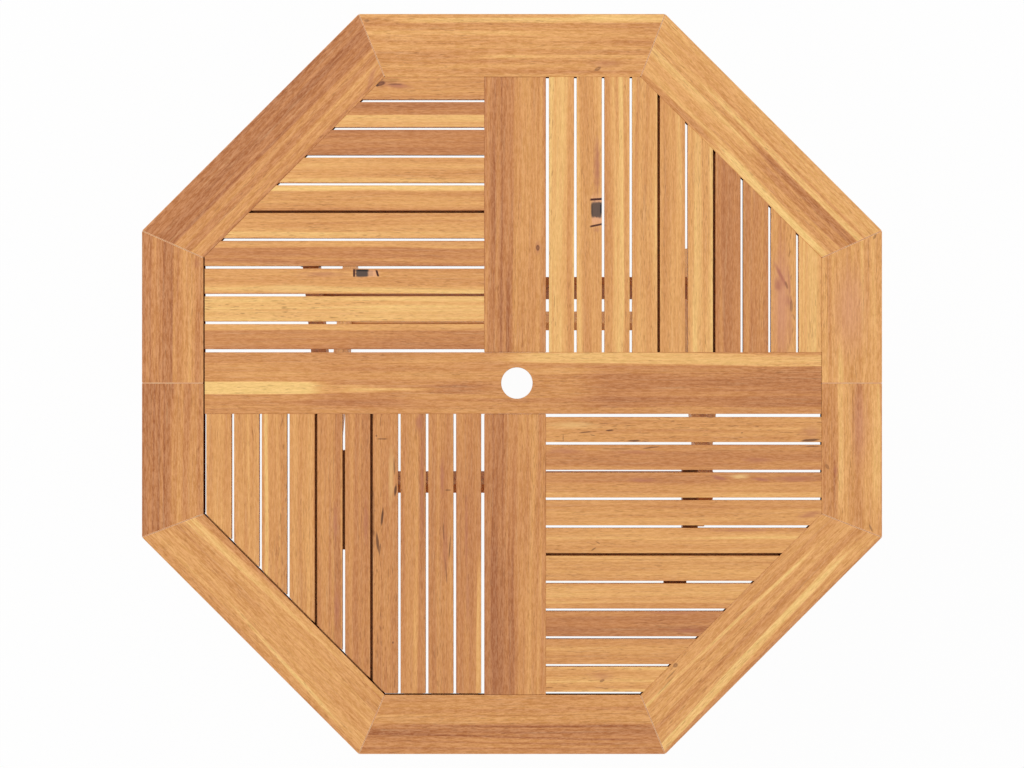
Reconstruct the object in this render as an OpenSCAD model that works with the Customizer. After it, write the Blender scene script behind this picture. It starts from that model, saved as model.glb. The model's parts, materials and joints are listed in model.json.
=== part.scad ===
/* [Table] */
// Width of the octagonal top across its flats
top_w = 1200; // [1100:10:1400]
// Height of the top's upper face above the floor
table_h = 750; // [680:5:800]

/* [Frame and centre boards] */
// Width of the frame boards
frame_w = 99; // [85:1:115]
// Thickness of the frame boards and the centre boards
board_t = 24; // [22:1:30]
// How far the slatted field lies from the middle of the top, along X
field_x = 1; // [-3:0.5:3]
// How far the slatted field lies from the middle of the top, along Y
field_y = -3; // [-4:0.5:4]
// Width of the three centre boards
centre_w = 100; // [85:1:115]
// y of the cross board's middle and of the two side seams
cross_y = 1.5; // [-4:0.5:4]
// x of the middle of the two spine boards
spine_x = 5; // [-8:0.5:8]
// Open hairline where two boards meet
joint_gap = 0.6; // [0.3:0.1:1]
// Open joint between the left frame boards and the field
left_gap = 1.6; // [0.3:0.1:3]

/* [Parasol hole] */
// Diameter of the hole
hole_d = 51; // [38:1:56]
// x of the hole
hole_x = 8; // [-10:1:10]

/* [Slats] */
// Width of one slat
slat_w = 40.7; // [32:0.1:48]
// Gap between two slats
slat_gap = 4.3; // [2:0.1:8]
// Gap between a centre board and the slat beside it
first_gap = 5; // [2:0.1:8]
// Thickness of the slats
slat_t = 18; // [16:1:20]
// Narrowest slat that is still fitted beside the frame
least_slat = 12; // [8:1:20]
// How far the lower left slats stop short of the frame
end_gap = 2.5; // [0:0.5:4]
// Width of a slat's stub tenon
tenon_w = 24; // [16:1:30]
// Thickness of the tenon
tenon_t = 8; // [6:1:10]
// How far the tenon reaches into the groove
tenon_l = 9; // [6:1:14]
// Clearance above and below the tenon
tenon_gap = 0.2; // [0.1:0.1:0.5]

/* [Joinery] */
// Length of a mitre spline
spline_l = 66; // [50:1:76]
// Width of a mitre spline
spline_w = 24; // [16:1:30]
// Thickness of a mitre spline
spline_t = 5; // [4:1:8]
// Diameter of the dowels in the centre boards
dowel_d = 10; // [6:1:12]
// Length of a dowel
dowel_l = 60; // [40:2:70]
// Distance of each dowel from its board's middle
dowel_off = 32; // [30:1:36]
// Clearance round splines, dowels and screws
wood_gap = 0.1; // [0.05:0.05:0.2]

/* [Battens] */
// Thickness of the battens under the slats
batten_t = 24; // [20:1:28]
// Width of the battens
batten_w = 44; // [40:1:50]
// Distance from the middle to the battens that run along X
batten_y = 292; // [280:1:304]
// Space between the inner upper right batten and the line of the right cleat
batten_off_right = 16; // [2:1:40]
// Space between the inner lower left batten and the left cleat
batten_off_left = 10; // [2:1:40]
// How far the battens lap under the boards at their ends
batten_lap = 40; // [30:1:46]
// Width of the rail that carries the left pivot bracket
pivot_rail_w = 36; // [32:1:38]
// Distance of that rail's middle behind the pivot
pivot_rail_off = 6; // [4:1:8]
// Width of the stop block
block_w = 37; // [30:1:44]
// Length of the stop block
block_l = 36; // [28:1:44]
// Thickness of the stop block
block_t = 18; // [14:1:22]
// How far the stop block's middle lies inside the right cleat's inner face
block_off = 12.5; // [0:0.5:30]

/* [Leg frames] */
// x of the middle of both leg frames
leg_x = 8; // [-10:1:10]
// Width over the outer legs
legs_w = 704; // [640:2:740]
// Width of the legs, seen from the side
leg_w = 45; // [38:1:50]
// Thickness of the legs
leg_t = 26; // [22:1:28]
// How far the outer legs' rounded upper ends stand out beyond a half circle
leg_crown = 1.5; // [0.5:0.5:3]
// Space between an outer and an inner leg
leg_gap = 4.5; // [4.5:0.5:10]
// y of the pivots between the top and the outer legs
pivot_y = 205; // [195:1:215]
// Drop of these pivots below the battens
pivot_drop = 44; // [42:1:60]
// y of the outer legs' feet
outer_foot_y = -240; // [-260:1:-220]
// y of the inner legs' feet
inner_foot_y = 228; // [210:1:245]
// y of the rail that the top rests on
rest_y = -161; // [-170:1:-150]
// Drop of that rail's middle below the battens
rest_drop = 26; // [26:1:34]
// Width of the four rails between the legs
rail_w = 44; // [36:1:46]
// Thickness of the rails
rail_t = 16; // [14:1:20]
// Drop of the outer legs' top rail below the pivots
outer_rail_drop = 102; // [80:1:160]
// Height of the outer legs' stretcher, on the leg's middle line
outer_stretcher_z = 128; // [110:1:150]
// Height of the inner legs' stretcher
inner_stretcher_z = 200; // [180:1:220]
// Clearance over the inner legs' upper ends
leg_top_gap = 2; // [1:0.5:4]

/* [Cleats] */
// Thickness of the notched cleats
cleat_t = 24.5; // [18:0.5:28]
// Space between a cleat and the inner leg beside it
cleat_side = 1; // [0.6:0.2:2]
// Depth of the notch
notch_d = 17.5; // [12:0.5:22]
// Clearance over and behind the rail in the notch
notch_gap = 0.4; // [0.3:0.1:0.8]
// Clearance in front of the rail, for the way in
notch_lead = 2.5; // [2:0.5:4]
// Length of the cleat in front of the rail
cleat_front = 53; // [40:1:60]

/* [Metalwork] */
// Thickness of the pivot brackets
plate_t = 3; // [2:0.5:3.5]
// Radius of the brackets' ears
ear_r = 12; // [10:1:14]
// Space between a bracket's ear and the leg
ear_gap = 0.3; // [0.2:0.1:0.5]
// Diameter of the bolts
bolt_d = 8; // [6:1:10]
// Radial running clearance of a bolt in its leg
bolt_gap = 0.06; // [0.02:0.01:0.1]
// Width of the hexagon heads and nuts across their flats
hex_w = 13; // [10:1:17]
// Height of the hexagon heads and nuts
hex_h = 5.5; // [4:0.5:8]
// Diameter of the washers
washer_d = 24; // [18:1:28]
// Thickness of the thin washers
washer_t = 1.6; // [1:0.2:2]
// Diameter of the screws
screw_d = 4.2; // [3.5:0.1:5]
// Diameter of the screw heads
screw_head_d = 8.4; // [7:0.1:10]
// Height of the screw heads
screw_head_h = 2.4; // [1.8:0.1:3]
// How far the screws reach into the piece that they hold
screw_bite = 10; // [8:1:12]
// Length of the side seam plates
seam_l = 120; // [90:2:150]
// Width of the side seam plates
seam_w = 30; // [24:1:40]
// Thickness of the side seam plates
seam_t = 2; // [1.5:0.5:3]

/* [Hidden] */
$fn = 64;

// Colours
dark_wood = [0.50, 0.29, 0.16];
warm_wood = [0.72, 0.47, 0.28];
pale_wood = [0.83, 0.61, 0.40];
black_steel = [0.09, 0.09, 0.10];
zinc = [0.62, 0.62, 0.63];

// Levels, from the top down
under_z = table_h - board_t;
slat_z = table_h - slat_t;
mid_z = table_h - board_t / 2;
tenon_z = table_h - slat_t / 2 - tenon_t / 2;
batten_z = slat_z - batten_t;

// The slatted field inside the frame
outer_r = top_w / 2;
field_r = outer_r - frame_w;
field_c = [field_x, field_y];
groove_d = tenon_l + 1;
pitch = slat_w + slat_gap;
field_left = field_x - field_r + left_gap;

// Leg lines in the plane of Y and Z
pivot_z = batten_z - pivot_drop;
rest_z = batten_z - rest_drop;
outer_a = atan2(pivot_z, pivot_y - outer_foot_y);
inner_a = atan2(rest_z, rest_y - inner_foot_y);
outer_run = (pivot_y - outer_foot_y) / pivot_z;
inner_run = (rest_y - inner_foot_y) / rest_z;
cross_z = (inner_foot_y - outer_foot_y) / (outer_run - inner_run);
cross_pivot_y = outer_foot_y + outer_run * cross_z;
leg_top_z = batten_z - leg_top_gap;
outer_rail_z = pivot_z - outer_rail_drop;

// Distances from the middle of the leg frames
outer_out = legs_w / 2;
outer_in = outer_out - leg_t;
inner_out = outer_in - leg_gap;
inner_in = inner_out - leg_t;
outer_mid = outer_out - leg_t / 2;
cleat_out = inner_in - cleat_side;
cleat_mid = cleat_out - cleat_t / 2;
cleat_in = cleat_out - cleat_t;
block_x = leg_x + cleat_in - block_off;
batten_right = leg_x + cleat_in - batten_off_right - batten_w / 2;
batten_left = leg_x - cleat_in + batten_off_left + batten_w / 2;
ear_in = outer_in - ear_gap - plate_t;
ear_out = outer_out + ear_gap + plate_t;

// Corners of the rail that the top rests on
rest_u = [cos(inner_a), sin(inner_a)];
rest_n = [sin(inner_a), -cos(inner_a)];
rest_c = [rest_y, rest_z];
rest_top = rest_c + rail_w / 2 * rest_u + rail_t / 2 * rest_n;
rest_back = rest_c + rail_w / 2 * rest_u - rail_t / 2 * rest_n;
notch_z = rest_top[1] + notch_gap;
cleat_z = notch_z - notch_d;
cleat_end = -(batten_y - batten_w / 2) + 0.5;

// Screw places
rail_screw_off = rail_w * 0.27;
cleat_screw_side = cleat_t * 0.25;
seam_screw_off = seam_l * 0.3;
seam_screw_side = seam_w * 0.22;
screw_sink = screw_head_h + 0.4;
wide = 2 * top_w;

// Geometry helpers

function corner(k, r, c = [0, 0]) =
    c + r / cos(22.5) * [cos(22.5 + 45 * k), sin(22.5 + 45 * k)];
function edge_x(sx) = spine_x + sx * centre_w / 2;
function edge_y(sy) = cross_y + sy * centre_w / 2;

// How far the field reaches from its middle, at an offset to one side
function reach(off) = min(field_r, field_r * sqrt(2) - abs(off));

// How many slats fill a quarter whose field is so wide
function slat_count(room) = ceil((room - first_gap - least_slat) / pitch);

// Angle and middle of a mitre
function mitre_run(k) = corner(k, field_r, field_c) - corner(k, outer_r);
function mitre_a(k) = atan2(mitre_run(k)[1], mitre_run(k)[0]);
function mitre_mid(k) = (corner(k, field_r, field_c) + corner(k, outer_r)) / 2;

module octagon(r, c = [0, 0]) {
    polygon([for (k = [0 : 7]) corner(k, r, c)]);
}

// One quarter of the field, from the centre boards outwards
module quarter(sx, sy, grow = 0) {
    x = edge_x(sx) - sx * grow;
    y = edge_y(sy) - sy * grow;
    translate([sx > 0 ? x : x - wide, sy > 0 ? y : y - wide])
        square(wide);
}

// An endless strip along X or Y
module strip(along_x, low, w) {
    if (along_x) {
        translate([-wide, low])
            square([2 * wide, w]);
    } else {
        translate([low, -wide])
            square([w, 2 * wide]);
    }
}

// A screw that points up, with its head under the origin
module screw(l, gap = 0) {
    translate([0, 0, -screw_head_h - gap])
        cylinder(d = screw_head_d + 2 * gap, h = screw_head_h + gap);
    translate([0, 0, -gap])
        cylinder(d = screw_d + 2 * gap, h = l + 2 * gap);
}

// A hexagonal head or nut along Z
module hexagon(h) {
    cylinder(d = hex_w / cos(30), h = h, $fn = 6);
}

// Puts children on a leg's middle line, turned so that +Y runs up the leg
module on_leg(y, z, a) {
    translate([leg_x, y, z])
        rotate([a, 0, 0])
            children();
}

// Turns a flat shape in Y and Z into a piece that is t thick along X
module slab(x, t) {
    translate([x, 0, 0])
        rotate([90, 0, 90])
            linear_extrude(t)
                children();
}

// Left or right copy of what is drawn from the middle of the legs
module side(s) {
    translate([leg_x, 0, 0])
        mirror([s < 0 ? 1 : 0, 0, 0])
            children();
}

// Frame

module groove() {
    translate([0, 0, tenon_z - tenon_gap])
        linear_extrude(tenon_t + 2 * tenon_gap)
            octagon(field_r + groove_d, field_c);
}

module mitre_line(k) {
    translate(corner(k, outer_r))
        rotate(mitre_a(k))
            translate([-joint_gap, -joint_gap / 2])
                square([norm(mitre_run(k)) + 2 * joint_gap, joint_gap]);
}

module spline(k, gap = 0) {
    at = mitre_mid(k);
    translate([at[0], at[1], mid_z])
        rotate([0, 0, mitre_a(k)])
            cube([spline_l + 2 * gap, spline_w + 2 * gap, spline_t + 2 * gap], center = true);
}

// Board k of the frame, or the part of it that lies above or below the side seam
module frame_board(k, half = 0) {
    difference() {
        translate([0, 0, under_z])
            linear_extrude(board_t)
                difference() {
                    polygon([
                        corner(k, outer_r),
                        corner(k + 1, outer_r),
                        corner(k + 1, field_r, field_c),
                        corner(k, field_r, field_c),
                    ]);
                    mitre_line(k);
                    mitre_line(k + 1);
                    if (half != 0) {
                        strip(true, half > 0 ? cross_y - wide + joint_gap / 2
                            : cross_y - joint_gap / 2, wide);
                    }
                }
        groove();
        for (j = [k, k + 1]) spline(j, wood_gap);
        dowels(wood_gap);
        under_screws(wood_gap);
        seam_screws(wood_gap);
    }
}

module mitre_splines() {
    color(pale_wood)
        for (k = [0 : 7]) spline(k);
}

// Centre boards

// One dowel along Y that starts at y, or along X that starts at x
module dowel(at, along_x, gap) {
    translate([at[0], at[1], mid_z])
        rotate(along_x ? [0, 90, 0] : [-90, 0, 0])
            cylinder(d = dowel_d + 2 * gap, h = dowel_l + 2 * gap, center = true);
}

module dowels(gap = 0) {
    for (s = [-1, 1], t = [-1, 1]) {
        dowel([field_x + s * field_r, cross_y + t * dowel_off], true, gap);
        dowel([spine_x + t * dowel_off, field_y + s * field_r], false, gap);
        dowel([spine_x + t * dowel_off, edge_y(s)], false, gap);
    }
}

module board_dowels() {
    color(pale_wood)
        dowels();
}

// Grooves in a board's long edges, at these two places across it
module edge_grooves(along_x, low, high) {
    for (at = [low - 1, high - groove_d])
        translate([0, 0, tenon_z - tenon_gap])
            linear_extrude(tenon_t + 2 * tenon_gap)
                strip(along_x, at, groove_d + 1);
}

module cross_board() {
    color(warm_wood)
        difference() {
            translate([field_left, edge_y(-1), under_z])
                cube([field_x + field_r - joint_gap / 2 - field_left, centre_w, board_t]);
            edge_grooves(true, edge_y(-1), edge_y(1));
            translate([hole_x, cross_y, under_z - 1])
                cylinder(d = hole_d, h = board_t + 2, $fn = 96);
            dowels(wood_gap);
            under_screws(wood_gap);
        }
}

module spine_board(s) {
    far = field_y + s * field_r;
    near = edge_y(s);
    difference() {
        translate([edge_x(-1), min(near, far) + joint_gap / 2, under_z])
            cube([centre_w, abs(far - near) - joint_gap, board_t]);
        edge_grooves(false, edge_x(-1), edge_x(1));
        dowels(wood_gap);
        under_screws(wood_gap);
    }
}

// Slats

// The slats of one quarter, counted from the centre board outwards
module slats(sx, sy, along_x, short = 0) {
    low = along_x ? edge_y(sy) : edge_x(sx);
    s = along_x ? sy : sx;
    room = field_r + s * ((along_x ? field_y : field_x) - low);
    difference() {
        for (i = [0 : slat_count(room) - 1]) {
            near = low + s * (first_gap + i * pitch);
            far = near + s * slat_w;
            from = min(near, far);
            translate([0, 0, slat_z])
                linear_extrude(slat_t)
                    intersection() {
                        strip(along_x, from, slat_w);
                        quarter(sx, sy);
                        octagon(field_r - short, field_c);
                        translate([field_left, -wide])
                            square(2 * wide);
                    }
            translate([0, 0, tenon_z])
                linear_extrude(tenon_t)
                    intersection() {
                        strip(along_x, from + (slat_w - tenon_w) / 2, tenon_w);
                        quarter(sx, sy, tenon_l);
                        octagon(field_r + tenon_l, field_c);
                    }
        }
        if (sy < 0) cleat_screw_set(wood_gap);
        if (sx > 0 && sy < 0) block_screw(wood_gap);
        bracket_screw_set(wood_gap);
    }
}

// Battens

// A batten that fills the slats' underside and laps under the boards at both ends
module batten(sx, sy, along_x, mid, w) {
    difference() {
        union() {
            translate([0, 0, batten_z])
                linear_extrude(under_z - batten_z)
                    intersection() {
                        strip(along_x, mid - w / 2, w);
                        quarter(sx, sy, batten_lap);
                        octagon(field_r + batten_lap, field_c);
                    }
            translate([0, 0, batten_z])
                linear_extrude(slat_z - batten_z)
                    intersection() {
                        strip(along_x, mid - w / 2, w);
                        quarter(sx, sy);
                        octagon(field_r, field_c);
                    }
        }
        under_screws(wood_gap);
        bracket_screw_set(wood_gap);
    }
}

// Every batten as its quarter, its direction and the place of its middle
batten_list = [
    [-1, 1, true, batten_y],
    [1, -1, true, -batten_y],
    [1, 1, false, batten_right],
    [1, 1, false, leg_x + outer_mid],
    [-1, -1, false, batten_left],
    [-1, -1, false, leg_x - outer_mid],
    [-1, 1, true, pivot_y + pivot_rail_off],
];

// Where a batten's screws go: under the frame and under the centre board
function lap_points(b) =
    b[2]
        ? [[field_x + b[0] * (reach(b[3] - field_y) + batten_lap / 2), b[3]],
           [edge_x(b[0]) - b[0] * batten_lap / 2, b[3]]]
        : [[b[3], field_y + b[1] * (reach(b[3] - field_x) + batten_lap / 2)],
           [b[3], edge_y(b[1]) - b[1] * batten_lap / 2]];

module under_screws(gap = 0) {
    for (b = batten_list, at = lap_points(b))
        translate([at[0], at[1], batten_z])
            screw(under_z - batten_z + screw_bite, gap);
}

module block_screw(gap = 0) {
    translate([block_x, cleat_end - 0.5 - batten_w - block_l * 0.7, slat_z - block_t])
        screw(block_t + screw_bite, gap);
}

module batten_screws() {
    color(zinc) {
        under_screws();
        block_screw();
    }
}

module stop_block() {
    color(dark_wood)
        difference() {
            translate([block_x - block_w / 2, -batten_y - batten_w / 2 - block_l,
                    slat_z - block_t])
                cube([block_w, block_l, block_t]);
            block_screw(wood_gap);
        }
}

// Cleats with the notch that drops over the inner legs' top rail

module cleat(s) {
    color(dark_wood)
        difference() {
            side(s)
                slab(cleat_in, cleat_t)
                    difference() {
                        translate([cleat_end, cleat_z])
                            square([rest_y + cleat_front - cleat_end, slat_z - cleat_z]);
                        polygon([
                            [rest_back[0] - notch_gap, cleat_z - 1],
                            [rest_back[0] - notch_gap, notch_z],
                            [rest_top[0] + notch_lead, notch_z],
                            [rest_top[0] + notch_lead - (notch_d + 1) * inner_run, cleat_z - 1],
                        ]);
                    }
            cleat_screw_set(wood_gap);
        }
}

module cleat_screw_set(gap = 0) {
    for (s = [-1, 1])
        side(s) {
            translate([cleat_mid - cleat_screw_side, rest_y + cleat_front - cleat_t / 2, cleat_z])
                screw(slat_z - cleat_z + screw_bite, gap);
            translate([cleat_mid + cleat_screw_side, cleat_end + 0.8 * cleat_t, cleat_z])
                screw(slat_z - cleat_z + screw_bite, gap);
        }
}

module cleat_screws() {
    color(zinc)
        cleat_screw_set();
}

// Side seam plates

module seam_screws(gap = 0) {
    for (s = [-1, 1], t = [-1, 1], u = [0.45, 1])
        translate([s * (outer_r - frame_w / 2) + t * seam_screw_side,
                cross_y + (u == 1 ? t : -t) * seam_screw_off * u, under_z - seam_t])
            screw(seam_t + screw_bite, gap);
}

module seam_plates() {
    color(black_steel)
        difference() {
            for (s = [-1, 1])
                translate([s * (outer_r - frame_w / 2) - seam_w / 2, cross_y - seam_l / 2,
                        under_z - seam_t])
                    cube([seam_w, seam_l, seam_t]);
            seam_screws(wood_gap);
        }
}

module seam_plate_screws() {
    color(zinc)
        seam_screws();
}

// Pivot brackets, each with an ear on both sides of an outer leg

module bracket_screw_set(gap = 0) {
    for (s = [-1, 1], t = [-1, 1])
        translate([leg_x + s * outer_mid + t * leg_t * 0.3, pivot_y + pivot_rail_off,
                batten_z - plate_t])
            screw(plate_t + 1.6 * screw_bite, gap);
}

module ear() {
    translate([pivot_y, pivot_z])
        circle(r = ear_r);
    translate([pivot_y - ear_r, pivot_z])
        square([2 * ear_r, batten_z - pivot_z]);
}

module pivot_bracket(s) {
    color(black_steel)
        difference() {
            union() {
                side(s) {
                    slab(ear_in, plate_t)
                        ear();
                    slab(ear_out - plate_t, plate_t)
                        ear();
                    translate([ear_in, pivot_y - ear_r, batten_z - plate_t])
                        cube([ear_out - ear_in, pivot_rail_off + pivot_rail_w / 2 + ear_r,
                            plate_t]);
                }
            }
            bracket_screw_set(wood_gap);
            bolt_shank(s, pivot_y, pivot_z, ear_in - 1, ear_out + 1, wood_gap);
        }
}

module pivot_bracket_screws() {
    color(zinc)
        bracket_screw_set();
}

// A bolt's shank along X at a pivot, from one distance to another
module bolt_shank(s, y, z, from, to, gap = 0) {
    side(s)
        translate([from, y, z])
            rotate([0, 90, 0])
                cylinder(d = bolt_d + 2 * gap, h = to - from);
}

module pivot_bolts() {
    color(black_steel)
        for (s = [-1, 1]) {
            bolt_shank(s, pivot_y, pivot_z, ear_in, ear_out);
            side(s)
                translate([ear_out, pivot_y, pivot_z])
                    rotate([0, 90, 0])
                        hexagon(hex_h);
        }
}

// Outer legs

module rail_screw_set(gap = 0) {
    for (s = [-1, 1], t = [-1, 1]) {
        on_leg(outer_foot_y + outer_run * outer_rail_z, outer_rail_z, outer_a)
            translate([s * outer_mid, t * rail_screw_off, -leg_w / 2 - rail_t])
                screw(rail_t + 3 * screw_bite, gap);
        on_leg(outer_foot_y + outer_run * outer_stretcher_z, outer_stretcher_z, outer_a)
            translate([s * outer_mid, t * rail_screw_off, leg_w / 2 + rail_t])
                mirror([0, 0, 1])
                    screw(rail_t + 3 * screw_bite, gap);
    }
}

// The side view of a straight leg that ends so far above its pivot
module outer_strip(above) {
    translate([pivot_y, pivot_z])
        rotate(outer_a)
            translate([-wide, -leg_w / 2])
                square([wide + above, leg_w]);
}

module outer_leg(s) {
    color(dark_wood)
        difference() {
            side(s)
                slab(outer_in, leg_t)
                    intersection() {
                        union() {
                            translate([pivot_y, pivot_z])
                                circle(r = leg_w / 2 + leg_crown);
                            outer_strip(0);
                        }
                        outer_strip(leg_w);
                        translate([-wide / 2, 0])
                            square(wide);
                    }
            bolt_shank(s, pivot_y, pivot_z, outer_in - 1, outer_out + 1, bolt_gap);
            bolt_shank(s, cross_pivot_y, cross_z, outer_in - 1, outer_out + 1, wood_gap);
            rail_screw_set(wood_gap);
        }
}

module outer_top_rail() {
    color(dark_wood)
        difference() {
            on_leg(outer_foot_y + outer_run * outer_rail_z, outer_rail_z, outer_a)
                translate([-outer_out, -rail_w / 2, -leg_w / 2 - rail_t])
                    cube([legs_w, rail_w, rail_t]);
            rail_screw_set(wood_gap);
        }
}

module outer_stretcher() {
    color(dark_wood)
        difference() {
            on_leg(outer_foot_y + outer_run * outer_stretcher_z, outer_stretcher_z, outer_a)
                translate([-outer_out, -rail_w / 2, leg_w / 2])
                    cube([legs_w, rail_w, rail_t]);
            rail_screw_set(wood_gap);
        }
}

module outer_rail_screws() {
    color(zinc)
        rail_screw_set();
}

// Bolts where the legs cross: a domed head outside, washers, and a nut inside

module cross_bolts() {
    dome_r = bolt_d * 1.2;
    dome_h = bolt_d * 0.5;
    color(black_steel)
        for (s = [-1, 1]) {
            bolt_shank(s, cross_pivot_y, cross_z,
                inner_in - ear_gap - washer_t - hex_h - 1, outer_out);
            side(s)
                translate([outer_out, cross_pivot_y, cross_z])
                    rotate([0, 90, 0])
                        rotate_extrude()
                            intersection() {
                                translate([0, dome_h - (dome_r ^ 2 + dome_h ^ 2) / (2 * dome_h)])
                                    circle(r = (dome_r ^ 2 + dome_h ^ 2) / (2 * dome_h), $fn = 96);
                                square([dome_r, dome_h]);
                            }
        }
}

module washer(x, t) {
    translate([x, cross_pivot_y, cross_z])
        rotate([0, 90, 0])
            difference() {
                cylinder(d = washer_d, h = t);
                translate([0, 0, -1])
                    cylinder(d = bolt_d + 2 * wood_gap, h = t + 2);
            }
}

module cross_washers() {
    color(zinc)
        for (s = [-1, 1])
            side(s) {
                washer(inner_out + ear_gap, leg_gap - ear_gap);
                washer(inner_in - ear_gap - washer_t, washer_t);
            }
}

module cross_nuts() {
    color(zinc)
        for (s = [-1, 1])
            side(s)
                translate([inner_in - ear_gap - washer_t, cross_pivot_y, cross_z])
                    rotate([0, -90, 0])
                        difference() {
                            hexagon(hex_h);
                            translate([0, 0, -1])
                                cylinder(d = bolt_d + 2 * wood_gap, h = hex_h + 2);
                        }
}

// Inner legs

module end_screw_set(gap = 0) {
    for (s = [-1, 1], t = [-1, 1], z = [rest_z, inner_stretcher_z])
        side(s)
            translate([0, inner_foot_y + inner_run * z, z])
                rotate([inner_a, 0, 0])
                    translate([inner_out - screw_sink, t * rail_screw_off, 0])
                        rotate([0, -90, 0])
                            screw(leg_t - screw_sink + 3 * screw_bite, gap);
}

// The recess that each of these screw heads sits in
module end_screw_sinks() {
    for (s = [-1, 1], t = [-1, 1], z = [rest_z, inner_stretcher_z])
        side(s)
            translate([0, inner_foot_y + inner_run * z, z])
                rotate([inner_a, 0, 0])
                    translate([inner_out - screw_sink, t * rail_screw_off, 0])
                        rotate([0, 90, 0])
                            cylinder(d = screw_head_d + 2 * wood_gap, h = screw_sink + 1);
}

module inner_leg(s) {
    color(warm_wood)
        difference() {
            side(s)
                slab(inner_in, leg_t)
                    intersection() {
                        translate([rest_y, rest_z])
                            rotate(inner_a)
                                translate([rail_w / 2 - wide, -leg_w / 2])
                                    square([wide, leg_w]);
                        translate([-wide / 2, 0])
                            square([wide, leg_top_z]);
                    }
            bolt_shank(s, cross_pivot_y, cross_z, inner_in - 1, inner_out + 1, bolt_gap);
            end_screw_set(wood_gap);
            end_screw_sinks();
        }
}

module inner_rail(z) {
    difference() {
        on_leg(inner_foot_y + inner_run * z, z, inner_a)
            cube([2 * inner_in, rail_w, rail_t], center = true);
        end_screw_set(wood_gap);
    }
}

module inner_rail_screws() {
    color(zinc)
        end_screw_set();
}

color(warm_wood) frame_board(0);  // frame_upper_right
color(warm_wood) frame_board(1);  // frame_top
color(warm_wood) frame_board(2);  // frame_upper_left
color(warm_wood) frame_board(3, 1);  // frame_left_upper
color(warm_wood) frame_board(3, -1);  // frame_left_lower
color(warm_wood) frame_board(4);  // frame_lower_left
color(warm_wood) frame_board(5);  // frame_bottom
color(warm_wood) frame_board(6);  // frame_lower_right
color(warm_wood) frame_board(7, -1);  // frame_right_lower
color(warm_wood) frame_board(7, 1);  // frame_right_upper
cross_board();
color(warm_wood) spine_board(1);  // spine_board_upper
color(warm_wood) spine_board(-1);  // spine_board_lower
color(pale_wood) slats(-1, 1, true);  // slats_upper_left
color(pale_wood) slats(1, 1, false);  // slats_upper_right
color(pale_wood) slats(-1, -1, false, end_gap);  // slats_lower_left
color(pale_wood) slats(1, -1, true);  // slats_lower_right
color(dark_wood) batten(-1, 1, true, batten_y, batten_w);  // batten_upper_left
color(dark_wood) batten(1, -1, true, -batten_y, batten_w);  // batten_lower_right
color(dark_wood) batten(1, 1, false, batten_right, batten_w);  // batten_upper_right_inner
color(dark_wood) batten(1, 1, false, leg_x + outer_mid, batten_w);  // batten_upper_right_outer
color(dark_wood) batten(-1, -1, false, batten_left, batten_w);  // batten_lower_left_inner
color(dark_wood) batten(-1, -1, false, leg_x - outer_mid, batten_w);  // batten_lower_left_outer
color(dark_wood) batten(-1, 1, true, pivot_y + pivot_rail_off, pivot_rail_w);  // pivot_rail
cleat(-1);  // cleat_left
cleat(1);  // cleat_right
stop_block();
mitre_splines();
board_dowels();
seam_plates();
seam_plate_screws();
batten_screws();
cleat_screws();
pivot_bracket(-1);  // pivot_bracket_left
pivot_bracket(1);  // pivot_bracket_right
pivot_bracket_screws();
pivot_bolts();
outer_leg(-1);  // outer_leg_left
outer_leg(1);  // outer_leg_right
outer_top_rail();
outer_stretcher();
outer_rail_screws();
cross_bolts();
cross_washers();
cross_nuts();
inner_leg(-1);  // inner_leg_left
inner_leg(1);  // inner_leg_right
color(warm_wood) inner_rail(rest_z);  // inner_top_rail
color(pale_wood) inner_rail(inner_stretcher_z);  // inner_stretcher
inner_rail_screws();
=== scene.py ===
import json
import math
import random

import bmesh
import bpy
from mathutils import Matrix, Vector


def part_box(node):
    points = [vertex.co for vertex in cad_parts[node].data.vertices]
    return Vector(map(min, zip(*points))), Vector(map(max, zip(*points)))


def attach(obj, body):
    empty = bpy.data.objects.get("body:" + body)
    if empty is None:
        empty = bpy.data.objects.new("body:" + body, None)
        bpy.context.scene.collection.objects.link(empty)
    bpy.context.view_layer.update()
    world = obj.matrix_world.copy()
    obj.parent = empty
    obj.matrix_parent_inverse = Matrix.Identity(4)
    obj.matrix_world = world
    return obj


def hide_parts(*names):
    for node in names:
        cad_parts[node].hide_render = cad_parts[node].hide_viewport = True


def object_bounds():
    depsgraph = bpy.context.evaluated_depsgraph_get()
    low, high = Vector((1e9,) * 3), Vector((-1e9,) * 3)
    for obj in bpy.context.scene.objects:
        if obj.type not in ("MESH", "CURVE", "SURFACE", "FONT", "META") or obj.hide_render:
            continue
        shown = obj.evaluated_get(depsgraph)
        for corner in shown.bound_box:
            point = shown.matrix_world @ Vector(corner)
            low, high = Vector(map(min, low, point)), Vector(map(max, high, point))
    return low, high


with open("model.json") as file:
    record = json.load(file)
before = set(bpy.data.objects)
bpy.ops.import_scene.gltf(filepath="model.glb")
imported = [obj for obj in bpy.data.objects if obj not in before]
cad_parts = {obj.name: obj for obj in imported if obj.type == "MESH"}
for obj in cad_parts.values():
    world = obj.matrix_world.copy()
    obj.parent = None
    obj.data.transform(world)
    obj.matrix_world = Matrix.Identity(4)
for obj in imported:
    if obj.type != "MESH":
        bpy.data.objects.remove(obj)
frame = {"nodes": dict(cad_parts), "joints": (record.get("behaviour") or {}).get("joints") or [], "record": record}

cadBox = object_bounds()
nodes = frame["nodes"]
joints = {joint["name"]: Vector(joint["pos_m"]) for joint in frame["joints"]}
mounts = {mount["name"]: Vector(mount["pos_m"]) for mount in frame["record"]["mounts"]}


def say(text):
    print("table:", text)


# Camera: straight above the table, as in the photograph

view = {"height": 5.62, "lens": 105.6, "sensor": 36.0, "clip": 100}

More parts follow.
